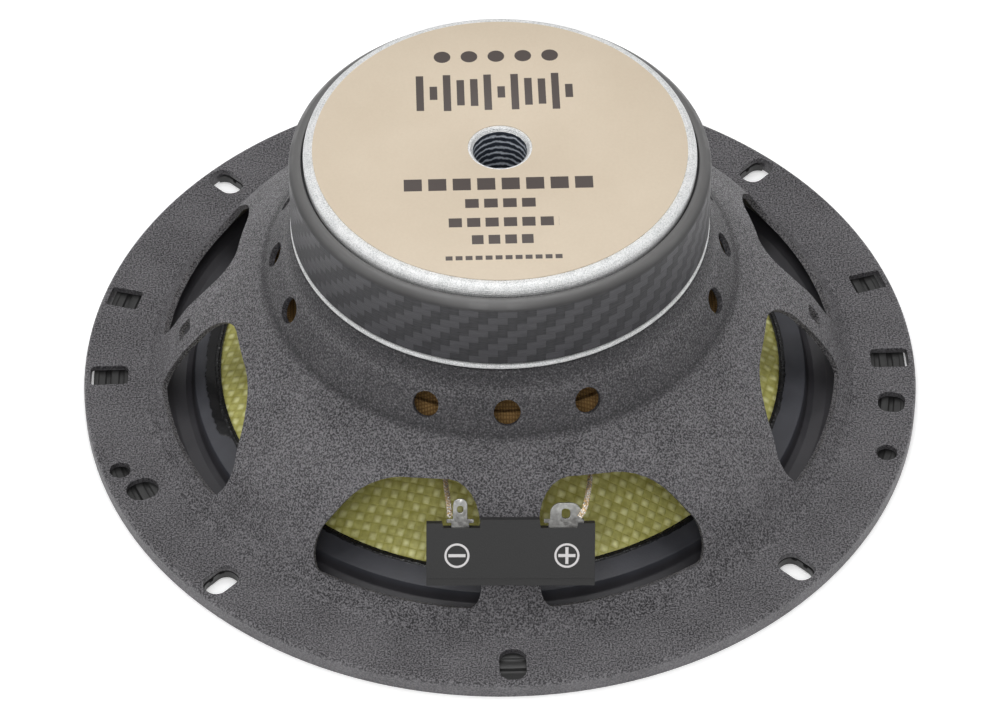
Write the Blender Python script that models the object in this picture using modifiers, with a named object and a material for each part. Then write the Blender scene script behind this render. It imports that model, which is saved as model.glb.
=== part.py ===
"""Car mid-woofer, 165 mm, lying on its front with the magnet upwards.

The origin is the centre of the plane that the basket's skirt stands on, and +Z
is the driver's axis, from the front towards the magnet. The terminal board is
on the -Y side. Dimensions are in millimetres, and MM turns them into metres.
"""
import math

import bmesh
import bpy
from mathutils import Matrix, Vector

MM = 0.001
GAP = 0.3                    # clearance between pieces that touch on the real driver
SEGMENTS = 48                # facets round every turned piece
ROUND_ANGLE = math.radians(35)

# Driving dimensions
FLANGE_R = 82.5
FLANGE_Z = 3.4
SHEET = 1.2                  # stamped basket sheet
PLATFORM_Z = 44.0            # flat on which the motor stands
PLATFORM_R = 39.5
PLATFORM_BORE_R = 17.0
WINDOW_OUTER_R = 67.2
VENT_R = 43.6
VENT_Z = 36.0
VENT_DIAMETER = 5.1
VENT_PITCH = math.radians(20.5)
POLE_R = 12.3
POLE_VENT_R = 5.1
FORMER_R = 12.6
WINDING_R = 13.1
WINDING_DEPTH = 0.5
PLATE_BORE_R = 14.0
PLATE_R = 39.3
PLATE_LEDGE_R = 40.3         # the plate's lower edge stands out past the sleeve
PLATE_THICKNESS = 4.5
RIVET_CIRCLE_R = 30.0
RIVET_HOLE_R = 1.9
MAGNET_R = 39.2
MAGNET_BORE_R = 17.5
MAGNET_THICKNESS = 10.2
YOKE_R = 37.4
YOKE_THICKNESS = 3.4
YOKE_BEVEL = 1.0
LABEL_R = 35.6
LABEL_BORE_R = 6.2
SLEEVE_R = 40.2
SLEEVE_WALL = 0.6
SLEEVE_LOW_Z = 45.65
CONE_NECK_R = 13.4
CONE_NECK_Z = 27.0
CONE_EDGE_R = 55.4
CONE_EDGE_Z = 4.7
CONE_WALL = 0.7
DOME_DEPTH = 5.5
SURROUND_WALL = 0.6
RING_OUTER_R = 80.7
RING_INNER_R = 70.0
RING_Z = 1.9
BOARD_WIDTH = 31.5
BOARD_HEIGHT = 11.0
BOARD_CENTRE_Y = 0.2
BOARD_THICKNESS = 2.4
NEGATIVE_X = -9.45
POSITIVE_X = 10.3
TAB_Z = 1.55                 # height of the tabs' middle above the slope
LEAD_DIAMETER = 1.0

# Heights of the motor stack, each piece standing on the one below
PLATE_Z = PLATFORM_Z + GAP
MAGNET_Z = PLATE_Z + PLATE_THICKNESS + GAP
YOKE_Z = MAGNET_Z + MAGNET_THICKNESS + GAP
YOKE_TOP_Z = YOKE_Z + YOKE_THICKNESS

# The basket's side bulges a little, and the terminal board lies on it
SLOPE = [(46.6, 31.6), (54.0, 25.1), (58.0, 20.9), (62.2, 15.4), (67.3, 6.9)]
BOARD_PLACE = (61.55, 16.28)      # radius and height of the board's middle on the slope
BOARD_SLOPE = math.atan(1.4)
BOARD_TURN = math.radians(-1.3)   # the board sits a little askew on its spoke

QUARTERS = [math.radians(90 * i) for i in range(4)]
DIAGONALS = [math.radians(45 + 90 * i) for i in range(4)]


# ---------------------------------------------------------------- scene and materials

def clear_scene():
    for obj in list(bpy.data.objects):
        bpy.data.objects.remove(obj, do_unlink=True)


def new_collection(name):
    collection = bpy.data.collections.new(name)
    bpy.context.scene.collection.children.link(collection)
    return collection


def material(name, colour, roughness, metallic=0.0):
    mat = bpy.data.materials.new(name)
    mat.use_nodes = True
    shader = mat.node_tree.nodes["Principled BSDF"]
    shader.inputs["Base Color"].default_value = (*colour, 1.0)
    shader.inputs["Roughness"].default_value = roughness
    shader.inputs["Metallic"].default_value = metallic
    mat.diffuse_color = (*colour, 1.0)
    return mat


def add_piece(name, mesh, collection, mat=None):
    obj = bpy.data.objects.new(name, mesh)
    collection.objects.link(obj)
    if mat is not None:
        mesh.materials.append(mat)
    return obj


def smooth(obj):
    obj.data.shade_smooth()
    obj.data.set_sharp_from_angle(angle=ROUND_ANGLE)


# ---------------------------------------------------------------- shapes

def turned(name, profile, collection, mat, closed=True, segments=SEGMENTS):
    """Turns a profile of (radius, height) points round Z. It runs down its outer side."""
    bm = bmesh.new()
    points = [bm.verts.new((r * MM, 0, z * MM)) for r, z in profile]
    for first, second in zip(points, points[1:]):
        bm.edges.new((first, second))
    if closed:
        bm.edges.new((points[-1], points[0]))
    mesh = bpy.data.meshes.new(name)
    bm.to_mesh(mesh)
    bm.free()
    obj = add_piece(name, mesh, collection, mat)
    screw = obj.modifiers.new("Turn", "SCREW")
    screw.axis = "Z"
    screw.steps = segments
    screw.render_steps = segments
    screw.use_merge_vertices = True
    screw.merge_threshold = 0.00001
    screw.use_smooth_shade = True
    return obj


def flat_curve(name, outlines, thickness):
    """A 2D curve filled between its outlines and extruded to both sides of Z = 0."""
    curve = bpy.data.curves.new(name, "CURVE")
    curve.dimensions = "2D"
    curve.fill_mode = "BOTH"
    curve.extrude = thickness / 2 * MM
    for outline in outlines:
        spline = curve.splines.new("POLY")
        spline.points.add(len(outline) - 1)
        for point, (x, y) in zip(spline.points, outline):
            point.co = (x * MM, y * MM, 0, 1)
        spline.use_cyclic_u = True
    return curve


def flat_plate(name, outlines, thickness, collection, mat=None):
    """The same flat outline as a closed mesh, which can be cut and can cut."""
    curve = flat_curve(name, outlines, thickness)
    guide = bpy.data.objects.new(name, curve)
    collection.objects.link(guide)
    evaluated = guide.evaluated_get(bpy.context.evaluated_depsgraph_get())
    mesh = bpy.data.meshes.new_from_object(evaluated)
    mesh.name = name
    bpy.data.objects.remove(guide, do_unlink=True)
    bm = bmesh.new()
    bm.from_mesh(mesh)
    bmesh.ops.remove_doubles(bm, verts=bm.verts, dist=0.000001)
    bmesh.ops.recalc_face_normals(bm, faces=bm.faces)
    bm.to_mesh(mesh)
    bm.free()
    return add_piece(name, mesh, collection, mat)


def box(name, size, centre, collection, mat=None):
    bm = bmesh.new()
    bmesh.ops.create_cube(bm, size=1.0)
    bmesh.ops.scale(bm, vec=[side * MM for side in size], verts=bm.verts)
    bmesh.ops.translate(bm, vec=[value * MM for value in centre], verts=bm.verts)
    mesh = bpy.data.meshes.new(name)
    bm.to_mesh(mesh)
    bm.free()
    return add_piece(name, mesh, collection, mat)


def rod(name, radius, low, high, collection, mat=None, facets=12):
    """A round bar along Z from low to high."""
    bm = bmesh.new()
    bmesh.ops.create_cone(bm, cap_ends=True, segments=facets, radius1=radius * MM,
                          radius2=radius * MM, depth=(high - low) * MM)
    bmesh.ops.translate(bm, vec=(0, 0, (low + high) / 2 * MM), verts=bm.verts)
    mesh = bpy.data.meshes.new(name)
    bm.to_mesh(mesh)
    bm.free()
    return add_piece(name, mesh, collection, mat)


def combine(obj, cutter, operation="DIFFERENCE"):
    boolean = obj.modifiers.new(cutter.name, "BOOLEAN")
    boolean.operation = operation
    boolean.solver = "EXACT"
    boolean.object = cutter
    hide(cutter)


def hide(cutter):
    cutter.hide_render = True
    cutter.display_type = "WIRE"


def cut_all(obj, cutters):
    """Cuts every object of a collection out of obj in one go."""
    boolean = obj.modifiers.new(cutters.name, "BOOLEAN")
    boolean.operation = "DIFFERENCE"
    boolean.solver = "EXACT"
    boolean.operand_type = "COLLECTION"
    boolean.collection = cutters
    for cutter in cutters.objects:
        hide(cutter)


def turn(angle):
    """Rotation that carries the front, -Y, round towards +X."""
    return Matrix.Rotation(angle, 4, "Z")


def on_front(radius, angle, height=0.0):
    """Placement on the rim at an angle from the front, with local Y pointing inwards."""
    return turn(angle) @ Matrix.Translation((0, -radius * MM, height * MM))


# ---------------------------------------------------------------- outlines

def rounded(corners, steps=3):
    """A closed outline through corners of (x, y, radius), each corner an arc."""
    outline = []
    count = len(corners)
    for i, (x, y, radius) in enumerate(corners):
        corner = Vector((x, y))
        before = (Vector(corners[i - 1][:2]) - corner).normalized()
        after = (Vector(corners[(i + 1) % count][:2]) - corner).normalized()
        if radius == 0:
            outline.append((x, y))
            continue
        half = before.angle(after) / 2
        reach = radius / math.tan(half)
        centre = corner + (before + after).normalized() * (radius / math.sin(half))
        start = corner + before * reach - centre
        sweep = math.pi - 2 * half
        if before.cross(after) > 0:
            sweep = -sweep
        for step in range(steps + 1):
            turned_by = sweep * step / steps
            cos, sin = math.cos(turned_by), math.sin(turned_by)
            outline.append((centre.x + start.x * cos - start.y * sin,
                            centre.y + start.x * sin + start.y * cos))
    return outline


def rounded_box(width, height, radius, centre=(0, 0)):
    x, y = width / 2, height / 2
    corners = [(-x, -y, radius), (x, -y, radius), (x, y, radius), (-x, y, radius)]
    return [(px + centre[0], py + centre[1]) for px, py in rounded(corners)]


def circle(radius, centre=(0, 0), facets=12):
    return [(centre[0] + radius * math.cos(2 * math.pi * i / facets),
             centre[1] + radius * math.sin(2 * math.pi * i / facets)) for i in range(facets)]


def mirrored(outline):
    return [(-x, y) for x, y in reversed(outline)]


def window_outline():
    """Basket window just past the front spoke, towards +X, in plan."""
    spoke_x = 5.5
    end_angle = math.radians(32.7)
    foot_angle = math.asin(spoke_x / WINDOW_OUTER_R)
    rim = []
    for step in range(1, 5):
        angle = end_angle + (foot_angle - end_angle) * step / 5
        rim.append((WINDOW_OUTER_R * math.sin(angle), -WINDOW_OUTER_R * math.cos(angle), 0))
    end = (WINDOW_OUTER_R * math.sin(end_angle), -WINDOW_OUTER_R * math.cos(end_angle), 2.6)
    foot = (spoke_x, -WINDOW_OUTER_R * math.cos(foot_angle), 2.2)
    return rounded([foot, (spoke_x, -52.4, 7.0), (25.9, -48.4, 20.0), (38.2, -53.05, 2.8), end] + rim)


# ---------------------------------------------------------------- basket and front ring

def basket_cutters(cutters):
    right = window_outline()
    for i, angle in enumerate(QUARTERS):
        for side, outline in (("right", right), ("left", mirrored(right))):
            window = flat_plate(f"window_{i}_{side}", [outline], 60, cutters)
            window.matrix_world = turn(angle)
        peg_hole = box(f"peg_hole_{i}", (3.5, 4.1, 8), (0, -0.6, 0), cutters)
        peg_hole.matrix_world = turn(angle) @ slope_frame()
        for side in (-1, 0, 1):
            vent = rod(f"vent_{i}_{side}", VENT_DIAMETER / 2, -3, 3, cutters)
            tilt = Matrix.Rotation(math.radians(60), 4, "X")
            vent.matrix_world = on_front(VENT_R, angle + side * VENT_PITCH, VENT_Z) @ tilt
    flange_holes(cutters)
    for i, angle in enumerate(DIAGONALS):
        hole = rod(f"stake_hole_{i}", RIVET_HOLE_R, PLATFORM_Z - 4, PLATFORM_Z + 1, cutters)
        hole.matrix_world = on_front(RIVET_CIRCLE_R, angle)


def flange_holes(cutters):
    """Screw slots and small holes of the flange: outline, radius and angle from the front."""
    slot = rounded_box(5.1, 7.5, 2.2)
    straight_slot = rounded_box(5.1, 7.5, 1.0)
    square_slot = rounded_box(5.1, 6.4, 0.5)
    oval = rounded_box(5.5, 6.4, 2.6)
    holes = [(slot, 77.5, degrees) for degrees in (0, 45, 135, 180, -135, -45)]
    holes += [(straight_slot, 77.5, 90), (straight_slot, 77.5, -90)]
    holes += [(square_slot, 78.0, 106), (square_slot, 78.0, -106)]
    holes += [(circle(2.05), 79.0, 71), (circle(2.05), 79.0, -71)]
    holes += [(oval, 76.7, -66.3), (rounded_box(5.3, 5.3, 2.0), 77.8, 81)]
    for i, (outline, radius, degrees) in enumerate(holes):
        hole = flat_plate(f"flange_hole_{i}", [outline], 2.4, cutters)
        hole.matrix_world = on_front(radius, math.radians(degrees), FLANGE_Z - SHEET / 2)


def make_basket(parts, cutters):
    profile = [(PLATFORM_BORE_R, PLATFORM_Z), (PLATFORM_R, PLATFORM_Z), (40.3, 43.5), (41.8, 39.1),
               (45.4, 32.9), *SLOPE, (69.4, 4.0), (70.7, FLANGE_Z),
               (81.7, FLANGE_Z), (FLANGE_R, 2.6), (FLANGE_R, 0)]
    black = material("basket_powder_coat", (0.09, 0.088, 0.09), 0.6, 0.1)
    basket = turned("basket", profile, parts, black, closed=False)
    sheet = basket.modifiers.new("Sheet", "SOLIDIFY")
    sheet.thickness = SHEET * MM
    sheet.offset = -1
    sheet.use_even_offset = True
    basket_cutters(cutters)
    cut_all(basket, cutters)


def make_front_ring(parts, cutters):
    low = GAP
    profile = [(RING_OUTER_R, RING_Z), (RING_OUTER_R, low), (RING_INNER_R, low), (RING_INNER_R, RING_Z)]
    ring = turned("front_ring", profile, parts, material("ring_plastic", (0.06, 0.06, 0.065), 0.45))
    for i, angle in enumerate(DIAGONALS):
        slot = flat_plate(f"ring_slot_{i}", [rounded_box(4.9, 7.0, 2.2)], 8, cutters)
        slot.matrix_world = on_front(77.3, angle)
    cut_all(ring, cutters)


# ---------------------------------------------------------------- motor

def make_motor(parts, cutters):
    ledge_z = PLATE_Z + 1.0
    plate = turned("top_plate", [(PLATE_R, PLATE_Z + PLATE_THICKNESS), (PLATE_R, ledge_z),
                                 (PLATE_LEDGE_R - 0.5, ledge_z), (PLATE_LEDGE_R, ledge_z - 0.5),
                                 (PLATE_LEDGE_R, PLATE_Z), (PLATE_BORE_R, PLATE_Z),
                                 (PLATE_BORE_R, PLATE_Z + PLATE_THICKNESS)],
                   parts, material("zinc_plate", (0.72, 0.74, 0.72), 0.3, 1.0))
    for i, angle in enumerate(DIAGONALS):
        hole = rod(f"plate_hole_{i}", RIVET_HOLE_R, PLATE_Z - 1, PLATE_Z + 2.9, cutters)
        hole.matrix_world = on_front(RIVET_CIRCLE_R, angle)
    cut_all(plate, cutters)

    magnet_top = MAGNET_Z + MAGNET_THICKNESS
    turned("ferrite_magnet", [(MAGNET_R, magnet_top), (MAGNET_R, MAGNET_Z), (MAGNET_BORE_R, MAGNET_Z),
                              (MAGNET_BORE_R, magnet_top)],
           parts, material("ferrite", (0.06, 0.06, 0.065), 0.55))

    mouth = POLE_VENT_R + 0.5
    turned("back_yoke", [(mouth, YOKE_TOP_Z), (YOKE_R - YOKE_BEVEL, YOKE_TOP_Z),
                         (YOKE_R - 0.3, YOKE_TOP_Z - 0.3), (YOKE_R, YOKE_TOP_Z - YOKE_BEVEL),
                         (YOKE_R, YOKE_Z), (POLE_R, YOKE_Z), (POLE_R, PLATE_Z),
                         (POLE_VENT_R, PLATE_Z), (POLE_VENT_R, YOKE_TOP_Z - 0.6)],
           parts, material("zinc_yoke", (0.72, 0.74, 0.72), 0.32, 1.0))

    inner = SLEEVE_R - SLEEVE_WALL
    curl_z = magnet_top + 0.2
    lip_r = YOKE_R + 0.5
    turned("magnet_sleeve", [(lip_r, curl_z + 1.3), (39.0, curl_z + 1.2), (39.8, curl_z + 0.7),
                             (SLEEVE_R, curl_z - 0.2), (SLEEVE_R, SLEEVE_LOW_Z), (inner, SLEEVE_LOW_Z),
                             (inner, curl_z - 0.3), (39.2, curl_z + 0.4), (lip_r, curl_z + 0.6)],
           parts, material("sleeve_carbon_look", (0.06, 0.06, 0.065), 0.25))

    label_low = YOKE_TOP_Z + GAP
    turned("rear_label", [(LABEL_R, label_low + 0.2), (LABEL_R, label_low), (LABEL_BORE_R, label_low),
                          (LABEL_BORE_R, label_low + 0.2)],
           parts, material("label_paper", (0.68, 0.6, 0.47), 0.6))

    steel = material("rivet_steel", (0.6, 0.6, 0.6), 0.35, 1.0)
    head_top = PLATFORM_Z - SHEET - GAP
    profile = [(0, PLATE_Z + 2.5), (1.5, PLATE_Z + 2.5), (1.5, head_top), (3.0, head_top),
               (3.0, head_top - 0.8), (2.0, head_top - 1.4), (0, head_top - 1.4)]
    for i, angle in enumerate(DIAGONALS):
        rivet = turned(f"plate_rivet_{i + 1}", profile, parts, steel, closed=False, segments=16)
        rivet.matrix_world = on_front(RIVET_CIRCLE_R, angle)


# ---------------------------------------------------------------- moving assembly

def make_coil(parts):
    former_low, former_top = 24.0, 51.6
    winding_low = former_top - 10.1
    turned("coil_former", [(FORMER_R + 0.2, former_top), (FORMER_R + 0.2, former_low),
                           (FORMER_R, former_low), (FORMER_R, former_top)],
           parts, material("former_film", (0.55, 0.36, 0.12), 0.35))
    turned("coil_winding", [(WINDING_R + WINDING_DEPTH, former_top), (WINDING_R + WINDING_DEPTH, winding_low),
                            (WINDING_R, winding_low), (WINDING_R, former_top)],
           parts, material("winding_copper", (0.7, 0.3, 0.14), 0.3, 1.0))


def cone_height(radius):
    """Height of the cone's rear face at a radius, a shallow curve from neck to edge."""
    along = (radius - CONE_NECK_R) / (CONE_EDGE_R - CONE_NECK_R)
    straight = CONE_NECK_Z + (CONE_EDGE_Z - CONE_NECK_Z) * along
    return straight - 1.2 * math.sin(math.pi * along)


def make_cone(parts):
    steps = 4
    radii = [CONE_NECK_R + (CONE_EDGE_R - CONE_NECK_R) * i / steps for i in range(steps + 1)]
    rear = [(r, cone_height(r)) for r in radii]
    front = [(r, cone_height(r) - CONE_WALL) for r in reversed(radii)]
    turned("cone", rear + front, parts, material("cone_glass_fibre", (0.5, 0.5, 0.12), 0.45))

    seat_r = 19.5
    seat_z = cone_height(seat_r) - CONE_WALL - GAP - 0.2
    outside = []
    for step in range(4):
        angle = math.pi / 2 * step / 4
        outside.append((seat_r * math.cos(angle), seat_z - DOME_DEPTH * math.sin(angle)))
    outside.append((0, seat_z - DOME_DEPTH))
    inside = [(r * 0.965, z + 0.6) for r, z in reversed(outside)]
    turned("dust_cap", inside + outside, parts,
           material("dust_cap_black", (0.04, 0.04, 0.042), 0.4), closed=False)


def make_surround(parts):
    rear = [(54.1, 6.0), (55.7, 5.4), (60.3, 4.4), (61.2, 2.1), (62.6, 1.35), (64.6, 1.35), (66.2, 2.0),
            (69.4, 1.9)]
    front = [(r, z - SURROUND_WALL) for r, z in reversed(rear)]
    turned("surround", rear + front, parts, material("surround_rubber", (0.045, 0.047, 0.055), 0.55))


def make_spider(parts):
    inner_r, outer_r = FORMER_R + 0.2 + GAP, 46.4
    waves = 4
    rim_z = 29.4
    rear = [(inner_r, rim_z + 0.8), (16.0, rim_z + 0.8)]
    for step in range(2 * waves):
        radius = 18.0 + step * (43.0 - 18.0) / (2 * waves - 1)
        rear.append((radius, rim_z + 0.2 + (0.8 if step % 2 else -0.8)))
    rear += [(outer_r, rim_z)]
    front = [(r, z - 0.5) for r, z in reversed(rear)]
    turned("spider", rear + front, parts, material("spider_cloth", (0.16, 0.08, 0.02), 0.9))


# ---------------------------------------------------------------- terminals and leads

def slope_frame():
    """Frame on the basket's sloping side at the front: X across, Y up the slope, Z outwards."""
    radius, height = BOARD_PLACE
    place = Matrix.Translation((0, -radius * MM, height * MM))
    return place @ Matrix.Rotation(BOARD_SLOPE, 4, "X")


def make_terminals(parts, cutters):
    frame = slope_frame() @ Matrix.Rotation(BOARD_TURN, 4, "Z")
    board = box("terminal_board", (BOARD_WIDTH, BOARD_HEIGHT, BOARD_THICKNESS),
                (0, BOARD_CENTRE_Y, GAP + BOARD_THICKNESS / 2), parts,
                material("terminal_plastic", (0.045, 0.045, 0.048), 0.45))
    board.matrix_world = frame
    peg = box("board_peg", (2.8, 3.3, 2.6), (0, -0.6, -0.4), cutters)
    pockets = [("negative_pocket", 4.1, NEGATIVE_X), ("positive_pocket", 7.2, POSITIVE_X)]
    combine(board, peg, "UNION")
    peg.matrix_world = frame
    for name, width, x in pockets:
        pocket = box(name, (width, 8, 1.3), (x, BOARD_CENTRE_Y + BOARD_HEIGHT / 2, TAB_Z), cutters)
        pocket.matrix_world = frame
        combine(board, pocket)
    silver = material("tab_tin_plate", (0.75, 0.75, 0.74), 0.25, 1.0)
    tab("negative_tab", NEGATIVE_X, 2.7, 3.4, 4.6, silver, parts, frame)
    tab("positive_tab", POSITIVE_X, 5.8, 6.5, 3.7, silver, parts, frame)


def tab(name, x, width, foot_width, reach, mat, parts, frame):
    """A flat push-on tab with shoulders above its foot and a round hole."""
    board_top = BOARD_CENTRE_Y + BOARD_HEIGHT / 2
    foot_y = board_top - 3.6
    shoulder_y = board_top + 0.8
    shoulder_top = shoulder_y + 0.7
    tip_y = shoulder_y + reach
    shoulder = foot_width / 2 + 0.7
    half = width / 2
    outline = rounded([(-foot_width / 2, foot_y, 0), (foot_width / 2, foot_y, 0),
                       (foot_width / 2, shoulder_y, 0), (shoulder, shoulder_y, 0),
                       (shoulder, shoulder_top, 0), (half, shoulder_top, 0),
                       (half, tip_y, 1.3), (-half, tip_y, 1.3), (-half, shoulder_top, 0),
                       (-shoulder, shoulder_top, 0), (-shoulder, shoulder_y, 0),
                       (-foot_width / 2, shoulder_y, 0)], steps=3)
    hole = circle(0.65, (0, tip_y - 1.7), 12)
    piece = flat_plate(name, [outline, hole], 0.7, parts, mat)
    piece.matrix_world = frame @ Matrix.Translation((x * MM, 0, TAB_Z * MM))


def smooth_route(route, count):
    """Points along a smooth curve through the route's own points."""
    points = [Vector(p) for p in route]
    points = [2 * points[0] - points[1]] + points + [2 * points[-1] - points[-2]]
    spans = len(route) - 1
    line = []
    for i in range(count):
        place = spans * i / (count - 1)
        k = min(int(place), spans - 1)
        t = place - k
        a, b, c, d = points[k:k + 4]
        line.append(0.5 * (2 * b + (c - a) * t + (2 * a - 5 * b + 4 * c - d) * t * t
                           + (3 * b - a - 3 * c + d) * t ** 3))
    return line


def lead(name, route, mat, parts):
    curve = bpy.data.curves.new(name, "CURVE")
    curve.dimensions = "3D"
    curve.bevel_depth = LEAD_DIAMETER / 2 * MM
    curve.bevel_resolution = 2
    curve.use_fill_caps = True
    line = smooth_route(route, 24)
    spline = curve.splines.new("POLY")
    spline.points.add(len(line) - 1)
    for point, place in zip(spline.points, line):
        point.co = (*(place * MM), 1)
    curve.materials.append(mat)
    parts.objects.link(bpy.data.objects.new(name, curve))


def make_leads(parts):
    """Braided leads from the tabs' shoulders through the windows to the cone."""
    braid = material("lead_tinsel", (0.7, 0.6, 0.42), 0.35, 1.0)
    solder = material("joint_cement", (0.05, 0.045, 0.04), 0.5)
    routes = {
        "negative": [(-11.2, -58.1, 23.9), (-11.3, -54.5, 22.4), (-11.5, -49.5, 20.4), (-11.7, -44.0, 18.9),
                     (-10.9, -37.0, 17.8), (-9.2, -29.5, 18.6)],
        "positive": [(13.0, -59.5, 24.1), (13.9, -58.4, 25.1), (14.5, -55.8, 24.7), (14.9, -52.3, 22.9),
                     (15.4, -48.0, 20.7), (15.7, -43.0, 19.0), (14.8, -36.0, 17.9), (11.8, -28.6, 18.6)],
    }
    for name, route in routes.items():
        lead(f"{name}_lead", route, braid, parts)
        x, y = route[-1][:2]
        radius = math.hypot(x, y) - 2.2
        bead = bpy.data.meshes.new(f"{name}_lead_joint")
        bm = bmesh.new()
        bmesh.ops.create_uvsphere(bm, u_segments=12, v_segments=8, radius=1.0 * MM)
        bmesh.ops.scale(bm, vec=(1.3, 1.3, 0.7), verts=bm.verts)
        bm.to_mesh(bead)
        bm.free()
        joint = add_piece(f"{name}_lead_joint", bead, parts, solder)
        joint.location = (x / math.hypot(x, y) * radius * MM, y / math.hypot(x, y) * radius * MM,
                          (cone_height(radius) + 1.4) * MM)
        smooth(joint)


# ---------------------------------------------------------------- build

def main():
    clear_scene()
    parts = new_collection("car_mid_woofer")
    make_basket(parts, new_collection("basket_cutters"))
    make_front_ring(parts, new_collection("ring_cutters"))
    make_motor(parts, new_collection("plate_cutters"))
    make_coil(parts)
    make_cone(parts)
    make_surround(parts)
    make_spider(parts)
    make_terminals(parts, new_collection("board_cutters"))
    make_leads(parts)


main()
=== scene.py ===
"""A 165 mm car mid-woofer lying on its face, with its motor and terminals up.

Lengths are in metres, and mm is a thousandth of one. Materials and the
terminals' outlines work in millimetres. The driver's axis is Z.
"""
import math

import bmesh
import bpy
from mathutils import Matrix, Vector, noise
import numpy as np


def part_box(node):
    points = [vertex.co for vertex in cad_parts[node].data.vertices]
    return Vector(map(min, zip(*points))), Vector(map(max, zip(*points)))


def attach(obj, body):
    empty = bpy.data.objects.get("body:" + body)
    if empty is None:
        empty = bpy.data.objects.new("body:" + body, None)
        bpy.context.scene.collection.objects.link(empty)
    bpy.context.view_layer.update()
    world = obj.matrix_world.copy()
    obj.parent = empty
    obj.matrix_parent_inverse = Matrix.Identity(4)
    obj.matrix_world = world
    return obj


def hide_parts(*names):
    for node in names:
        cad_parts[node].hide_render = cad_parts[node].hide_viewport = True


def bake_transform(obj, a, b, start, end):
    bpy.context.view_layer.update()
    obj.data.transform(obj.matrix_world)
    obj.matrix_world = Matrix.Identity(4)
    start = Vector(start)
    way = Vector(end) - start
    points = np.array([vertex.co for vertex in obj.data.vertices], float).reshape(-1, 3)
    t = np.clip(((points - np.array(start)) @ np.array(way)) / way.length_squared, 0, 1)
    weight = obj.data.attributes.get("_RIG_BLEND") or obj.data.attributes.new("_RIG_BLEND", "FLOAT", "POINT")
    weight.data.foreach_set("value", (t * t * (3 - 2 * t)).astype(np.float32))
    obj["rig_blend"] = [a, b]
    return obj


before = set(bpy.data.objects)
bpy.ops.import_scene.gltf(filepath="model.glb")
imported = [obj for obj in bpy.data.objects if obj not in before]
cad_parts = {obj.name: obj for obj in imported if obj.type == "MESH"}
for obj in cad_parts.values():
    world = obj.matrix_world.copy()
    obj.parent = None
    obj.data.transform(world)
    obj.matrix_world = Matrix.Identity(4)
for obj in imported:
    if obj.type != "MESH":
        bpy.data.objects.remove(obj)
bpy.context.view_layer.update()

scene = bpy.context.scene
mm = 0.001


# ---------------------------------------------------------------------------
# Studio
# A white table under a wide overhead soft box, filled from the front and from
# both sides. The camera looks down at the terminals from about 46 degrees.

camera_distance = 0.6386
camera_height = 0.6646
camera_pitch = math.radians(45.88)
camera_turn = math.radians(-1.8)

camera = bpy.data.objects.new("camera", bpy.data.cameras.new("camera"))
camera.data.lens = 166.6
camera.data.sensor_width = 36.0
camera.rotation_euler = (math.pi / 2 - camera_pitch, 0, camera_turn)
camera.location = Matrix.Rotation(camera_turn, 3, "Z") @ Vector((0, -camera_distance, camera_height))
scene.collection.objects.link(camera)
scene.camera = camera
scene.view_settings.view_transform = "Standard"


def soft_box(name, place, target, size, watts):
    """A square area light that faces a point."""
    lamp = bpy.data.lights.new(name, "AREA")
    lamp.shape = "SQUARE"
    lamp.size = size
    lamp.energy = watts
    box = bpy.data.objects.new(name, lamp)
    box.location = place
    box.rotation_euler = (Vector(target) - Vector(place)).to_track_quat("-Z", "Y").to_euler()
    scene.collection.objects.link(box)


soft_box("overhead", (-0.05, 0.18, 1.1), (0, 0, 0), 0.9, 6.2)
soft_box("front_fill", (-0.1, -0.85, 0.95), (0, 0, 0.03), 0.6, 4.2)
soft_box("left_fill", (-1.0, -0.1, 0.6), (0, 0, 0.03), 0.5, 1.3)
soft_box("right_fill", (1.0, 0.0, 0.6), (0, 0, 0.03), 0.5, 1.3)

world = bpy.data.worlds.new("studio")
world.use_nodes = True
world.node_tree.nodes["Background"].inputs["Color"].default_value = (1, 1, 1, 1)
world.node_tree.nodes["Background"].inputs["Strength"].default_value = 0.3
scene.world = world


def material(name, colour, roughness, metallic=0.0, **constants):
    """A new Principled material; constants are its other sockets, by name with _ for a space."""
    made = bpy.data.materials.new(name)
    made.use_nodes = True
    shader = made.node_tree.nodes["Principled BSDF"]
    shader.inputs["Base Color"].default_value = (*colour, 1)
    shader.inputs["Roughness"].default_value = roughness
    shader.inputs["Metallic"].default_value = metallic
    for socket, value in constants.items():
        shader.inputs[socket.replace("_", " ")].default_value = value
    return made, shader


class Field:
    """A value that varies over a surface. Arithmetic on it adds Math nodes to its material."""

    def __init__(self, socket):
        self.socket = socket

    @staticmethod
    def node(tree, kind, settings, inputs, output=0):
        """Adds any node: its settings first, then the values or links of its sockets."""
        made = tree.nodes.new(kind)
        for key, value in settings.items():
            if key == "stops":
                fit_stops(made.color_ramp, value)
            else:
                setattr(made, key, value)
        for key, value in inputs.items():
            if isinstance(value, Field):
                tree.links.new(value.socket, made.inputs[key])
            else:
                made.inputs[key].default_value = value
        return Field(made.outputs[output])

    def math(self, operation, *others):
        values = [self, *others]
        return Field.node(self.socket.id_data, "ShaderNodeMath", {"operation": operation},
                          dict(enumerate(values)))

    def __add__(self, other):
        return self.math("ADD", other)

    def __sub__(self, other):
        return self.math("SUBTRACT", other)

    def __rsub__(self, other):
        return self.math("MULTIPLY_ADD", -1.0, other)

    def __mul__(self, other):
        return self.math("MULTIPLY", other)

    def __truediv__(self, other):
        return self.math("DIVIDE", other)

    def __mod__(self, other):
        return self.math("FLOORED_MODULO", other)

    def __pow__(self, other):
        return self.math("POWER", other)

    def __lt__(self, other):
        return self.math("LESS_THAN", other)

    def __gt__(self, other):
        return self.math("GREATER_THAN", other)

    def __abs__(self):
        return self.math("ABSOLUTE")

    def __or__(self, other):
        return self.math("MAXIMUM", other)

    __radd__ = __add__
    __rmul__ = __mul__


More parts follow.
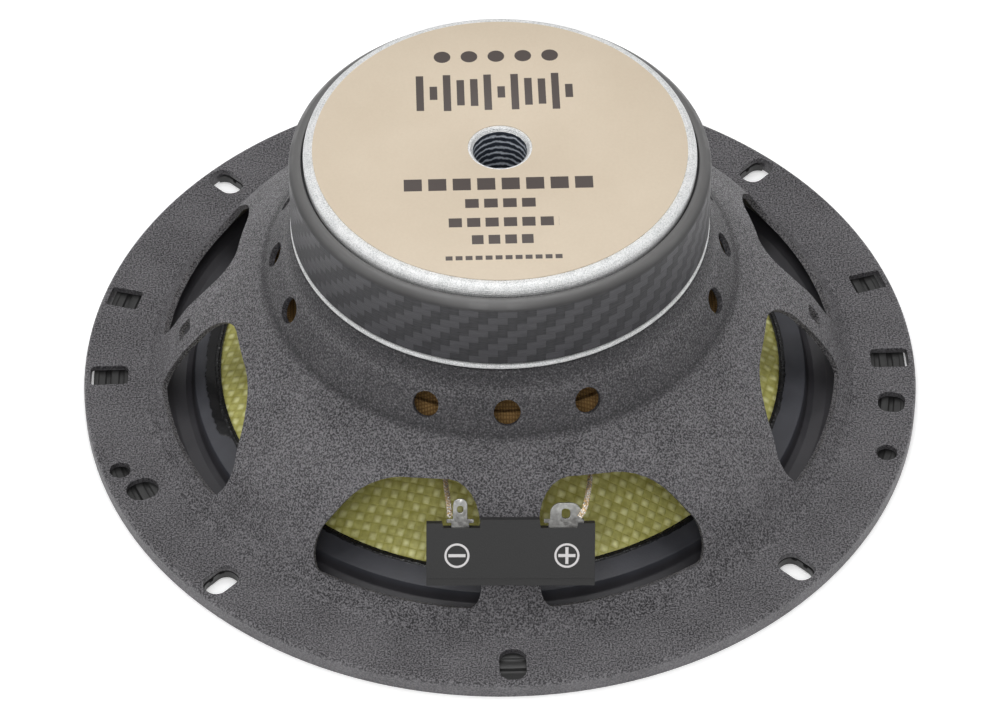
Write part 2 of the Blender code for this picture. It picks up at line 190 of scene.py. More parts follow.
def fit_stops(ramp, stops):
    """Sets a colour ramp's stops, each a position and a grey level."""
    ramp.elements[0].position = stops[0][0]
    ramp.elements[-1].position = stops[-1][0]
    for position, _ in stops[1:-1]:
        ramp.elements.new(position)
    for element, (_, level) in zip(ramp.elements, stops):
        element.color = (level, level, level, 1)


def place_on(made):
    """Where a point lies on its piece, in millimetres: the vector, then x, y and z."""
    tree = made.node_tree
    metres = Field.node(tree, "ShaderNodeTexCoord", {}, {}, "Object")
    place = Field.node(tree, "ShaderNodeVectorMath", {"operation": "SCALE"}, {0: metres, "Scale": 1000.0})
    parts = Field.node(tree, "ShaderNodeSeparateXYZ", {}, {0: place}).socket.node
    return place, *(Field(part) for part in parts.outputs)


def grain(place, size, detail=2.0, roughness=0.5):
    """Soft noise from 0 to 1 whose lumps are about size millimetres across."""
    return Field.node(place.socket.id_data, "ShaderNodeTexNoise", {},
                      {"Vector": place, "Scale": 1.0 / size, "Detail": detail, "Roughness": roughness})


def finish(shader, colour=None, roughness=None, metallic=None, height=None, depth=0.1):
    """Wires what varies into the shader; height is relief, and depth its size in millimetres."""
    tree = shader.id_data
    wires = {"Base Color": colour, "Roughness": roughness, "Metallic": metallic}
    if height is not None:
        wires["Normal"] = Field.node(tree, "ShaderNodeBump", {}, {"Height": height, "Distance": depth * mm})
    for socket, value in wires.items():
        if value is not None:
            tree.links.new(value.socket, shader.inputs[socket])


def white_table():
    """Matt white that glows a little, so that it stays pure white under the lamps."""
    made, shader = material("white_table", (0.93, 0.93, 0.93), 0.6, Emission_Strength=0.3)
    place = place_on(made)[0]
    finish(shader, roughness=grain(place, 6.0) * 0.1 + 0.55)
    return made


table_half = 3.0
table = bpy.data.objects.new("table", bpy.data.meshes.new("table"))
bm = bmesh.new()
bmesh.ops.create_grid(bm, x_segments=1, y_segments=1, size=table_half)
bm.to_mesh(table.data)
bm.free()
table.data.materials.append(white_table())
scene.collection.objects.link(table)


# ---------------------------------------------------------------------------
# Basket
# Stamped from 1.2 mm steel and powder coated in pebbled black: a flange with a
# turned-down skirt, a sloping side with eight windows, and a neck with cooling
# vents under the motor's platform.

sheet = 1.2 * mm
flange_z = 3.4 * mm
window_rim_r = 67.2 * mm
window_middle = (0.33, -0.94)   # the way from the axis to the middle of the window, seen from above
sheet_lean = (0.8, 0.6)         # how far outwards, and how far up, the sloping side faces
chute_reach = 5 * mm
spoke_half = 5.5 * mm
spoke_point = (-61.55 * mm, 16.28 * mm)
spoke_slope = math.atan(1.4)
peg_hole_y = -0.6 * mm
cooling_circle, cooling_height = 43.6 * mm, 36.0 * mm
cooling_spacing, cooling_tilt = math.radians(20.5), math.radians(60)
coat_relief = 0.42
quarters = [math.radians(90 * i) for i in range(4)]
diagonals = [math.radians(45 + 90 * i) for i in range(4)]


def rounded(corners, closed=True, steps=6):
    """A line through corners of (x, y, radius), each corner an arc."""
    line = []
    for i, (x, y, radius) in enumerate(corners):
        if radius == 0 or not closed and i in (0, len(corners) - 1):
            line.append((x, y))
            continue
        corner = Vector((x, y))
        before = (Vector(corners[i - 1][:2]) - corner).normalized()
        after = (Vector(corners[(i + 1) % len(corners)][:2]) - corner).normalized()
        half = before.angle(after) / 2
        middle = corner + (before + after).normalized() * (radius / math.sin(half))
        start = corner + before * (radius / math.tan(half)) - middle
        sweep = (math.pi - 2 * half) * (-1 if before.cross(after) > 0 else 1)
        for step in range(steps + 1):
            point = middle + Matrix.Rotation(sweep * step / steps, 2) @ start
            line.append((point.x, point.y))
    return line


def scaled(corners):
    """Corners given in millimetres, in metres."""
    return [tuple(value * mm for value in corner) for corner in corners]


def keep(name, bm):
    """A new smooth-shaded piece from a bmesh, which is freed."""
    piece = bpy.data.objects.new(name, bpy.data.meshes.new(name))
    bmesh.ops.recalc_face_normals(bm, faces=bm.faces)
    bm.to_mesh(piece.data)
    bm.free()
    scene.collection.objects.link(piece)
    shade(piece)
    return piece


def shade(piece, sharp=40):
    piece.data.shade_smooth()
    piece.data.set_sharp_from_angle(angle=math.radians(sharp))


def turned(name, profile, closed=True, segments=180):
    """Spins a profile of (radius, height) round the driver's axis."""
    bm = bmesh.new()
    points = [bm.verts.new((0, -r, z)) for r, z in profile]
    edges = [bm.edges.new(pair) for pair in zip(points, points[1:])]
    if closed:
        edges.append(bm.edges.new((points[-1], points[0])))
    bmesh.ops.spin(bm, geom=points + edges, cent=(0, 0, 0), axis=(0, 0, 1), angle=2 * math.pi,
                   steps=segments, use_duplicate=False)
    bmesh.ops.remove_doubles(bm, verts=bm.verts, dist=0.001 * mm)
    return keep(name, bm)


def prism(name, outline, low, high, place=Matrix.Identity(4)):
    """A flat outline given depth from low to high."""
    bm = bmesh.new()
    face = bm.faces.new([bm.verts.new((x, y, low)) for x, y in outline])
    pushed = bmesh.ops.extrude_face_region(bm, geom=[face])["geom"]
    raised = [part for part in pushed if isinstance(part, bmesh.types.BMVert)]
    bmesh.ops.translate(bm, vec=(0, 0, high - low), verts=raised)
    piece = keep(name, bm)
    piece.matrix_world = place
    return piece


def settle(piece):
    """Makes a piece's modifiers part of its mesh."""
    evaluated = piece.evaluated_get(bpy.context.evaluated_depsgraph_get())
    piece.data = bpy.data.meshes.new_from_object(evaluated)
    piece.modifiers.clear()


def cut(piece, cutters):
    """Cuts the cutters out of a piece and discards them."""
    tools = bpy.data.collections.new(piece.name + "_cutters")
    for cutter in cutters:
        tools.objects.link(cutter)
    knife = piece.modifiers.new("cuts", "BOOLEAN")
    knife.solver = "EXACT"
    knife.operand_type = "COLLECTION"
    knife.collection = tools
    settle(piece)
    for cutter in cutters:
        bpy.data.objects.remove(cutter, do_unlink=True)
    bpy.data.collections.remove(tools)


def ease_edges(piece, width, segments=2, sharp=40):
    """Rounds the piece's sharp edges."""
    bevel = piece.modifiers.new("edges", "BEVEL")
    bevel.width = width
    bevel.segments = segments
    bevel.limit_method = "ANGLE"
    bevel.angle_limit = math.radians(sharp)
    settle(piece)
    shade(piece)
    piece.modifiers.new("even_normals", "WEIGHTED_NORMAL").keep_sharp = True
    settle(piece)


def around(radius, angle, height=0.0):
    """A place on a circle, at an angle from the terminals towards +X, with local Y inwards."""
    return Matrix.Rotation(angle, 4, "Z") @ Matrix.Translation((0, -radius, height))


def oblong(width, length, radius):
    x, y = width / 2, length / 2
    return rounded([(-x, -y, radius), (x, -y, radius), (x, y, radius), (-x, y, radius)])


def window_outline():
    """The window just past the front spoke, towards +X, seen from above."""
    far = math.radians(32.7)
    near = math.asin(spoke_half / window_rim_r)
    ends = [(window_rim_r * math.sin(a), -window_rim_r * math.cos(a)) for a in (near, far)]
    rim = [(window_rim_r * math.sin(a), -window_rim_r * math.cos(a), 0)
           for a in [far + (near - far) * i / 12 for i in range(2, 11)]]
    inner = scaled([(5.5, -52.4, 7.0), (25.9, -48.4, 20.0), (38.2, -53.05, 2.8)])
    return rounded([(*ends[0], 2.2 * mm), *inner, (*ends[1], 2.6 * mm)] + rim)


basket_face = rounded(scaled([
    (17.0, 44.0, 0), (40.3, 44.0, 1.0), (41.8, 39.1, 3.0), (45.3, 33.0, 1.4), (50.2, 28.6, 12),
    (57.4, 21.8, 22), (62.0, 16.1, 22), (67.6, 6.4, 2.6), (70.2, 3.4, 2.4), (82.5, 3.4, 0.9),
    (82.5, 0, 0)]), closed=False)


def side_height(radius):
    """Height of the basket's outer face at a radius."""
    for (r0, z0), (r1, z1) in zip(basket_face, basket_face[1:]):
        if r0 <= radius <= r1:
            return z0 + (z1 - z0) * (radius - r0) / (r1 - r0)


def chute(outline, side):
    """A window's cutter, straight across the sheet in the window's middle; side is 1 towards +X."""
    bm = bmesh.new()
    across = Vector((side * window_middle[0], window_middle[1], 0)).normalized() * sheet_lean[0]
    across.z = sheet_lean[1]
    on_sheet = [Vector((x, y, side_height(math.hypot(x, y)))) for x, y in outline]
    inner = [bm.verts.new(point - across * chute_reach) for point in on_sheet]
    outer = [bm.verts.new(point + across * chute_reach) for point in on_sheet]
    for i, vertex in enumerate(inner):
        bm.faces.new((vertex, inner[i - 1], outer[i - 1], outer[i]))
    bm.faces.new(inner)
    bm.faces.new(outer)
    return keep("window", bm)


def slope_place():
    """The front spoke's outer face at the terminals: X across, Y up the slope, Z outwards."""
    return Matrix.Translation((0, *spoke_point)) @ Matrix.Rotation(spoke_slope, 4, "X")


def flange_cutters():
    """Screw slots and small locating holes, which differ from side to side."""
    slot = oblong(5.1 * mm, 7.5 * mm, 2.3 * mm)
    straight = oblong(5.1 * mm, 7.5 * mm, 1.0 * mm)
    square = oblong(5.1 * mm, 6.4 * mm, 0.5 * mm)
    small = oblong(4.1 * mm, 4.1 * mm, 2.04 * mm)
    wide = oblong(5.5 * mm, 6.4 * mm, 2.7 * mm)
    middling = oblong(5.3 * mm, 5.3 * mm, 2 * mm)
    holes = [(slot, 77.5, degrees) for degrees in (0, 45, 135, 180, -135, -45)]
    holes += [(straight, 77.5, 90), (straight, 77.5, -90)]
    holes += [(square, 78.0, 106), (square, 78.0, -106), (small, 79.0, 71), (small, 79.0, -71)]
    holes += [(wide, 76.7, -66.3), (middling, 77.8, 81)]
    return [prism(f"slot_{i}", outline, -1.2 * mm, 1.2 * mm,
                  around(radius * mm, math.radians(degrees), flange_z - sheet / 2))
            for i, (outline, radius, degrees) in enumerate(holes)]


def side_cutters():
    """Windows, cooling vents and the square hole that each narrow spoke has."""
    right = window_outline()
    left = [(-x, y) for x, y in reversed(right)]
    tilt = Matrix.Rotation(cooling_tilt, 4, "X")
    vent = oblong(5.1 * mm, 5.1 * mm, 2.54 * mm)
    peg_hole = oblong(3.5 * mm, 4.1 * mm, 0.4 * mm)
    made = []
    for angle in quarters:
        turn = Matrix.Rotation(angle, 4, "Z")
        for outline, side in ((right, 1), (left, -1)):
            window = chute(outline, side)
            window.matrix_world = turn
            made.append(window)
        peg_place = turn @ slope_place() @ Matrix.Translation((0, peg_hole_y, 0))
        made.append(prism("peg_hole", peg_hole, -4 * mm, 4 * mm, peg_place))
        for step in (-1, 0, 1):
            place = around(cooling_circle, angle + step * cooling_spacing, cooling_height)
            made.append(prism("vent", vent, -3 * mm, 3 * mm, place @ tilt))
    return made


def stretch(value, low, high):
    """Spreads the range from low to high over 0 to 1."""
    return Field.node(value.socket.id_data, "ShaderNodeMapRange", {},
                      {"Value": value, "From Min": low, "From Max": high})


def blend_colours(factor, first, second):
    """The first colour where factor is 0, the second where it is 1."""
    colours = [value if isinstance(value, Field) else (*value, 1) for value in (first, second)]
    return Field.node(factor.socket.id_data, "ShaderNodeMix", {"data_type": "RGBA"},
                      {0: factor, 6: colours[0], 7: colours[1]}, 2)


def from_middle(x, y):
    """Distance from a piece's middle, seen along its Z axis."""
    return (x * x + y * y).math("SQRT")


def powder_coat():
    """Pebbled black, with painted shade in the neck's folds, lighter bends between them, and painted glints.
    """
    made, shader = material("powder_coat", (0.09, 0.088, 0.09), 0.55)
    place, x, y, z = place_on(made)
    pebbles = grain(place, 0.34, 2.0, 0.6)
    patches = grain(place, 9.0, 2.0)
    skirt = stretch(z, 3.2, 2.4)
    specks = stretch(pebbles, 0.4, 0.62) * (1.0 - skirt * 0.6) + skirt * 0.3
    # Painted shade by radius: darkest under the platform and in the valley below the vents, lighter on the
    # bends between them, none out on the slope.
    painted_neck_shade_stops = [(0.0, 0.16), (0.2, 0.24), (0.27, 0.75), (0.34, 0.46), (0.5, 0.38), (0.57, 0.18),
                  (0.66, 0.85), (1.0, 1.0)]
    painted_fold_shade = Field.node(made.node_tree, "ShaderNodeValToRGB", {"stops": painted_neck_shade_stops},
                       {0: stretch(from_middle(x, y), 38.0, 52.0)})
    # Painted glints: bright specks on pebble tops, strongest where the painted shade is deepest.
    painted_glints = stretch(pebbles, 0.6, 0.7) * (1.0 - painted_fold_shade) * 0.55
    level = (specks * 0.9 + stretch(patches, 0.3, 0.7) * 0.16) * painted_fold_shade + painted_glints
    finish(shader, colour=blend_colours(level, (0.016, 0.015, 0.018), (0.225, 0.218, 0.23)),
           roughness=0.62 - specks * 0.24, height=pebbles * (1.0 - skirt * 0.7), depth=coat_relief)
    return made


def dress(piece, made, body, node):
    """Gives a piece its finish and says which part of the driver it is."""
    piece.data.materials.clear()
    piece.data.materials.append(made)
    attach(piece, body)
    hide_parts(node)


basket = turned("basket_shell", basket_face, closed=False)
wall = basket.modifiers.new("sheet", "SOLIDIFY")
wall.thickness = sheet
wall.offset = -1
wall.use_even_offset = True
cut(basket, side_cutters() + flange_cutters())
ease_edges(basket, 0.16 * mm)
dress(basket, powder_coat(), "frame", "basket")


# ---------------------------------------------------------------------------
# Front ring
# A moulded black ring that fills the skirt and backs the flange. Its grooves
# show through the flange's slots, and four of its own slots take the screws.

def moulded_black(name, level=0.03, sheen=0.42):
    """Black plastic with the fine grain of its mould."""
    made, shader = material(name, (level, level, level * 1.05), sheen)
    place = place_on(made)[0]
    fine = grain(place, 0.3, 2.0)
    finish(shader, colour=blend_colours(fine, (level * 0.8,) * 3, (level * 1.25,) * 3),
           roughness=sheen - 0.06 + grain(place, 3.0) * 0.12, height=fine, depth=0.02)
    return made


ring_slot_circle = 77.3 * mm
ring = turned("front_trim_ring", rounded(scaled([
    (80.7, 1.9, 0.2), (80.7, 0.3, 0.2), (70.0, 0.3, 0.2), (70.0, 1.9, 0.2), (74.6, 1.9, 0.1),
    (74.8, 1.5, 0.1), (75.6, 1.5, 0.1), (75.8, 1.9, 0.1), (77.2, 1.9, 0.1), (77.4, 1.2, 0.1),
    (78.2, 1.2, 0.1), (78.4, 1.7, 0.1), (79.6, 1.7, 0.1), (79.8, 1.9, 0.1)]), steps=2))
ring_slot = oblong(4.9 * mm, 7.0 * mm, 2.2 * mm)
cut(ring, [prism(f"ring_slot_{i}", ring_slot, -1 * mm, 4 * mm, around(ring_slot_circle, angle))
           for i, angle in enumerate(diagonals)])
shade(ring)
dress(ring, moulded_black("ring_plastic"), "frame", "front_ring")


# ---------------------------------------------------------------------------
# Top plate, magnet and rivets
# A zinc-plated steel plate stands on the platform, held by four rivets from
# below, and carries the ferrite ring magnet.

def zinc(name, tone=0.8, rough=0.42, swirl=0.0):
    """Bright zinc plating: fine crystals, cloudy patches and faint turning marks."""
    made, shader = material(name, (tone, tone * 1.02, tone), rough, 0.55)
    place, x, y, z = place_on(made)
    crystals = grain(place, 0.26, 3.0, 0.7)
    blotches = stretch(grain(place, 2.5, 3.0), 0.3, 0.7)
    marks = ((from_middle(x, y) + z) * 14.0).math("SINE") * 0.5 + 0.5
    level = stretch(crystals, 0.32, 0.62) * 0.75 + blotches * 0.25
    finish(shader, colour=blend_colours(level, (tone * 0.55, tone * 0.57, tone * 0.57), (tone * 1.2,) * 3),
           roughness=rough - 0.12 + crystals * 0.3, height=crystals + marks * swirl, depth=0.16)
    return made


plate_low, plate_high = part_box("top_plate")
plate_ledge_r = plate_high[0]
plate_r = 39.3 * mm
ledge_z = plate_low[2] + 1.0 * mm
coil_bore_r = 14.0 * mm
plate = turned("magnet_top_plate", rounded([
    (plate_r, plate_high[2], 0.4 * mm), (plate_r, ledge_z, 0), (plate_ledge_r, ledge_z, 0.6 * mm),
    (plate_ledge_r, plate_low[2], 0.2 * mm), (coil_bore_r, plate_low[2], 0.2 * mm),
    (coil_bore_r, plate_high[2], 0.2 * mm)], steps=3))
rivet_circle, rivet_depth = 30.0 * mm, 2.9 * mm
rivet_hole = oblong(3.8 * mm, 3.8 * mm, 1.88 * mm)
cut(plate, [prism(f"rivet_hole_{i}", rivet_hole, plate_low[2] - mm, plate_low[2] + rivet_depth,
                  around(rivet_circle, angle)) for i, angle in enumerate(diagonals)])
shade(plate)
dress(plate, zinc("zinc_top_plate", 0.8, 0.3), "frame", "top_plate")


def ferrite():
    """Dark sintered ceramic with small pits."""
    made, shader = material("ferrite", (0.06, 0.06, 0.065), 0.55)
    place = place_on(made)[0]
    pits = grain(place, 0.4, 4.0)
    finish(shader, colour=blend_colours(pits, (0.03, 0.03, 0.033), (0.09, 0.09, 0.095)),
           height=pits, depth=0.05)
    return made


def plain_steel():
    """Rubbed steel for the rivets, which keep their own shape."""
    made, shader = material("rivet_steel", (0.6, 0.6, 0.6), 0.35, 1.0)
    place = place_on(made)[0]
    wear = grain(place, 0.5, 3.0)
    finish(shader, colour=blend_colours(wear, (0.42, 0.42, 0.42), (0.7, 0.7, 0.69)),
           roughness=wear * 0.2 + 0.28, height=wear, depth=0.03)
    return made


magnet_low, magnet_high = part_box("ferrite_magnet")
magnet_bore_r = 17.5 * mm
magnet = turned("ring_magnet", rounded([
    (magnet_high[0], magnet_high[2], 0.5 * mm), (magnet_high[0], magnet_low[2], 0.5 * mm),
    (magnet_bore_r, magnet_low[2], 0.5 * mm), (magnet_bore_r, magnet_high[2], 0.5 * mm)], steps=2))
dress(magnet, ferrite(), "frame", "ferrite_magnet")

rivet_finish = plain_steel()
for number in range(1, 5):
    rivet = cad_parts[f"plate_rivet_{number}"]
    rivet.data.materials.clear()
    rivet.data.materials.append(rivet_finish)


# ---------------------------------------------------------------------------
# Back yoke
# The rear plate and the pole in one turned steel piece, bored for cooling. Its
# rim is rounded over, plated bright and a little battered from handling.

yoke_low, yoke_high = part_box("back_yoke")
yoke_r = yoke_high[0]
yoke_z = yoke_high[2]
vent_r = 5.1 * mm
pole_r = 12.3 * mm
plate_under = 59.6 * mm
rim_round = 1.25 * mm
vent_chamfer_r, vent_chamfer_z = vent_r + 0.55 * mm, yoke_z - 0.8 * mm
yoke = turned("yoke_and_pole", rounded([
    (vent_chamfer_r, yoke_z, 0.12 * mm), (yoke_r, yoke_z, rim_round), (yoke_r, plate_under, 0.5 * mm),
    (pole_r, plate_under, 0.4 * mm), (pole_r, yoke_low[2], 0.4 * mm), (vent_r, yoke_low[2], 0.2 * mm),
    (vent_r, vent_chamfer_z, 0.15 * mm)], steps=6), segments=240)
for vertex in yoke.data.vertices:
    reach = vertex.co.xy.length
    if reach > yoke_r - rim_round - 0.05 * mm:
        dent = noise.noise(vertex.co * 420) * 0.05 * mm
        vertex.co.xy *= (reach - abs(dent)) / reach


def yoke_zinc():
    """Zinc outside; the vent's bore is dark, with the rings that the drill left."""
    made = zinc("zinc_yoke", 0.97, 0.44, 0.2)
    shader = made.node_tree.nodes["Principled BSDF"]
    place, x, y, z = place_on(made)
    bore = (from_middle(x, y) < 5.2) * (z < 62.3)
    rings = stretch((z * 4.4 + grain(place, 1.2, 3.0) * 5.0).math("SINE"), 0.0, 1.0)
    outside = Field(shader.inputs["Base Color"].links[0].from_socket)
    dark = blend_colours(rings, (0.03, 0.038, 0.055), (0.75, 0.8, 0.88))
    finish(shader, colour=blend_colours(bore, outside, dark), metallic=0.55 - bore * 0.55)
    return made


dress(yoke, yoke_zinc(), "frame", "back_yoke")


# ---------------------------------------------------------------------------
# Magnet sleeve
# A printed film shrunk round the magnet, with a 2 x 2 twill carbon look, that
# curls over the magnet's rear edge in a lip, painted grey as a painted sheen.

tow = 1.8 * mm
sleeve_low, sleeve_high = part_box("magnet_sleeve")
sleeve_r = sleeve_high[0]
film = 0.45 * mm
lip_r = yoke_r + 0.42 * mm
sleeve = turned("sleeve_film", rounded([
    (lip_r, sleeve_high[2] - 0.05 * mm, 0.2 * mm), (38.9 * mm, sleeve_high[2], 1.4 * mm),
    (sleeve_r, 59.4 * mm, 1.0 * mm), (sleeve_r, sleeve_low[2], 0.18 * mm),
    (sleeve_r - film, sleeve_low[2], 0.1 * mm), (sleeve_r - film, 59.2 * mm, 0.7 * mm),
    (38.8 * mm, sleeve_high[2] - film, 1.0 * mm), (lip_r, sleeve_high[2] - film - 0.05 * mm, 0.1 * mm)],
    steps=5), segments=240)


def stretch_along(place, flat, upright):
    """The place scaled by flat in x and y and by upright in z, for a grain that is longer one way."""
    return Field.node(place.socket.id_data, "ShaderNodeVectorMath", {"operation": "MULTIPLY"},
                      {0: place, 1: (flat, flat, upright)})


def carbon_film():
    """Printed twill in two blacks with fine level threads, and a lip painted grey as a painted sheen."""
    made, shader = material("carbon_film", (0.06, 0.06, 0.065), 0.34)
    place, x, y, z = place_on(made)
    round_rim = y.math("ARCTAN2", x) * (sleeve_r / tow)
    up = z * (mm / tow) * 1.06
    over = ((round_rim.math("FLOOR") - up.math("FLOOR")) % 4.0) < 1.5
    across = (round_rim % 1.0) * over + (up % 1.0) * (1.0 - over)
    crown = (across * math.pi).math("SINE")
    threads = Field.node(made.node_tree, "ShaderNodeTexNoise", {},
                         {"Vector": stretch_along(place, 0.5, 5.0), "Scale": 1.0, "Detail": 2.0})
    print_level = (1.0 - over) * 0.5 + crown * 0.12 + stretch(threads, 0.3, 0.7) * 0.34
    weave = blend_colours(print_level, (0.011, 0.011, 0.013), (0.068, 0.067, 0.074))
    edge = z + grain(place, 1.6) * 0.5
    lip = stretch(edge, 59.45, 59.7)
    # Painted sheen on the lip's rounded corner: grey that grows lighter towards the top.
    lip_painted_sheen = blend_colours(stretch(z, 59.6, 60.6), (0.05, 0.049, 0.05), (0.135, 0.133, 0.132))
    relief = print_level * (1.0 - lip) + grain(place, 4.0) * 1.2
    finish(shader, colour=blend_colours(lip, weave, lip_painted_sheen),
           roughness=over * 0.08 + 0.36, height=relief, depth=0.06)
    return made


dress(sleeve, carbon_film(), "frame", "magnet_sleeve")


# ---------------------------------------------------------------------------
# Rear label
# A beige film disc with dark print. The print is plain ornament: a line of dots,
# a row of level bars, and rows of dashes where a maker would put the ratings.

label_r, label_bore_r = 35.6 * mm, 6.1 * mm
label_z = yoke_z + 0.02 * mm
label_top = label_z + 0.16 * mm
label = turned("rear_disc_label", rounded([
    (label_r, label_top, 0.06 * mm), (label_r, label_z, 0.02 * mm), (label_bore_r, label_z, 0.02 * mm),
    (label_bore_r, label_top, 0.06 * mm)], steps=2), segments=240)


def printed_label():
    """Beige paper-like film; its ink is dots, level bars and five rows of dashes."""
    made, shader = material("printed_label", (0.69, 0.58, 0.445), 0.5)
    place, x, y, _ = place_on(made)

    def dashes(height, thick, left, right, pitch, share):
        """A row of dashes: where it lies, how thick, from where to where, and how broken."""
        row = (abs(y - height) < thick / 2) * (x > left) * (x < right)
        return row * ((((x - left) / pitch) % 1.0) < share)

    bar = (x / 2.6).math("FLOOR")
    reach = abs((bar * 1.9).math("SINE")) * 3.6 + 1.6
    bars = (abs(y - 15.4) < reach) * ((x / 2.6) % 1.0 < 0.56) * (abs(x) < 15.6)
    dot_x = ((x / 5.2 + 0.5) % 1.0 - 0.5) * 5.2
    dot_y = y - 25.6
    dots = ((dot_x * dot_x + dot_y * dot_y) < 2.6) * (abs(x) < 13.0)
    ink = bars | dots
    for row in ((-10.0, 3.2, -18.4, 18.4, 4.6, 0.74), (-15.2, 2.4, -7.0, 7.2, 3.55, 0.72),
                (-20.3, 2.4, -10.2, 10.4, 3.43, 0.72), (-24.9, 2.4, -6.0, 6.4, 3.1, 0.7),
                (-29.7, 1.1, -11.0, 11.2, 1.85, 0.7)):
        ink = ink | dashes(*row)
    fibre = grain(place, 0.5, 2.0)
    paper = blend_colours(fibre * 0.6 + stretch(grain(place, 14.0), 0.3, 0.7) * 0.4,
                          (0.645, 0.54, 0.41), (0.72, 0.615, 0.48))
    finish(shader, colour=blend_colours(ink, paper, (0.085, 0.068, 0.062)),
           roughness=0.5 - ink * 0.08, height=fibre, depth=0.012)
    return made


dress(label, printed_label(), "frame", "rear_label")


# ---------------------------------------------------------------------------
# Voice coil
# Copper wire wound on an amber film tube, which hangs in the gap between the
# pole and the top plate.

former_low, former_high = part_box("coil_former")
former_bore_r, winding_bore_r = 12.62 * mm, 13.12 * mm
former = turned("amber_former", [
    (former_high[0], former_high[2]), (former_high[0], former_low[2]),
    (former_bore_r, former_low[2]), (former_bore_r, former_high[2])], segments=120)
winding_low, winding_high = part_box("coil_winding")
wire = 0.28 * mm
groove_r = winding_high[0] - 0.06 * mm
ridges = []
for turn_number in range(int((winding_high[2] - winding_low[2]) / wire)):
    top = winding_high[2] - turn_number * wire
    ridges += [(groove_r, top), (winding_high[0], top - wire / 2)]
ridges.append((groove_r, winding_low[2]))
bore_line = [(winding_bore_r, winding_low[2]), (winding_bore_r, winding_high[2])]
winding = turned("copper_winding", ridges + bore_line, segments=96)


def amber_film():
    """Amber film, a little cloudy."""
    made, shader = material("amber_film", (0.55, 0.32, 0.08), 0.3)
    place = place_on(made)[0]
    clouds = grain(place, 2.0)
    finish(shader, colour=blend_colours(clouds, (0.42, 0.22, 0.05), (0.62, 0.38, 0.12)),
           roughness=clouds * 0.15 + 0.22)
    return made


def copper():
    """Enamelled copper wire."""
    made, shader = material("enamelled_copper", (0.72, 0.3, 0.13), 0.28, 1.0)
    place = place_on(made)[0]
    clouds = grain(place, 0.6)
    finish(shader, colour=blend_colours(clouds, (0.6, 0.22, 0.09), (0.8, 0.38, 0.18)),
           height=clouds, depth=0.02)
    return made


dress(former, amber_film(), "moving_cone", "coil_former")
dress(winding, copper(), "moving_cone", "coil_winding")


# ---------------------------------------------------------------------------
# Cone
# Plain-woven glass fibre set in yellow-green resin and pressed to shape. A
# bead of black adhesive ties its edge to the surround.

neck_r, edge_r = 13.4 * mm, 55.4 * mm
neck_z, edge_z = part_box("cone")[1][2], 4.7 * mm
cone_sag, cone_thick = 1.2 * mm, 0.5 * mm


def cone_height(radius):
    """Height of the cone's rear face."""
    along = (radius - neck_r) / (edge_r - neck_r)
    return neck_z + (edge_z - neck_z) * along - cone_sag * math.sin(math.pi * along)


radii = [neck_r + (edge_r - neck_r) * i / 24 for i in range(25)]
cone = turned("woven_cone", [(r, cone_height(r)) for r in radii]
              + [(r, cone_height(r) - cone_thick) for r in reversed(radii)])


def hump(value):
    """Rises from 0 to 1 and falls back within each whole number."""
    return ((value % 1.0) * math.pi).math("SINE")


def glass_weave():
    """Plain weave, its yarn crowns raised; where the warp lies on top it is painted pale as a painted
    highlight, and cell edges darker as painted shade.
    """
    made, shader = material("glass_weave", (0.45, 0.45, 0.1), 0.36)
    place, x, y, _ = place_on(made)
    lean = math.radians(-18.4)
    pitch = 1.66
    warp = (x * math.cos(lean) + y * math.sin(lean) + grain(place, 14.0) * 1.6) / pitch
    weft = (y * math.cos(lean) - x * math.sin(lean)) / pitch
    over = ((warp.math("FLOOR") + weft.math("FLOOR")) % 2.0) < 0.5
    bulge = hump(warp) * hump(weft)
    crown = bulge ** 0.35
    tint = stretch(grain(place, 1.3, 2.0), 0.3, 0.7)
    # crown brightens each cell's middle and darkens its edges as painted shade; over * bulge is a painted
    # highlight on the warp where it lies on top; tint is the cloth's own tone.
    level = crown * 0.16 + over * bulge * (0.34 + tint * 0.3) + tint * 0.2 + 0.04
    low = blend_colours(tint, (0.36, 0.33, 0.035), (0.5, 0.47, 0.06))
    finish(shader, colour=blend_colours(stretch(level, 0.0, 1.0), low, (1.0, 0.99, 0.5)),
           roughness=0.5 - bulge * 0.16, height=crown * 0.5 + over * bulge * 0.7, depth=0.2)
    return made


dress(cone, glass_weave(), "moving_cone", "cone")


def adhesive():
    """Lumpy black rubber cement, shiny where it ran smooth."""
    made, shader = material("black_adhesive", (0.012, 0.012, 0.013), 0.3)
    place = place_on(made)[0]
    lumps = grain(place, 1.4, 3.0)
    finish(shader, roughness=lumps * 0.3 + 0.12, height=lumps, depth=0.3)
    return made


bead_r, bead_z = 55.95 * mm, 5.1 * mm
bead_half_width, bead_half_height = 0.55 * mm, 0.32 * mm
bead_ring = [(bead_r + bead_half_width * math.cos(a), bead_z + bead_half_height * math.sin(a))
             for a in [2 * math.pi * i / 10 for i in range(10)]]
bead = turned("adhesive_bead", bead_ring, segments=240)
for vertex in bead.data.vertices:
    vertex.co.xy *= 1 + 0.003 * noise.noise(vertex.co * 240)
bead.data.materials.append(adhesive())
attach(bead, "moving_cone")


# ---------------------------------------------------------------------------
# Dust cap
# A pressed black dome glued in the mouth of the cone, bulging towards the
# listener. It keeps dust out of the magnet's gap.

cap_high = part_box("dust_cap")[1]
cap_r = cap_high[0]
cap_depth, cap_thick = 5.4 * mm, 0.5 * mm
dome = [(cap_r * math.sin(a), cap_high[2] - cap_depth * math.cos(a) - 0.55 * mm)
        for a in [math.pi / 2 * i / 16 for i in range(17)]]
cap = turned("dome_cap", dome + [(r * 0.97, z + cap_thick) for r, z in reversed(dome)], segments=120)
dress(cap, moulded_black("cap_black", 0.035, 0.4), "moving_cone", "dust_cap")


# ---------------------------------------------------------------------------
# Surround
# Moulded rubber between the cone's edge and the basket: a rim on the cone, a
# step down into the roll, and an outer flange. The rim moves with the cone and
# the flange stays on the basket.

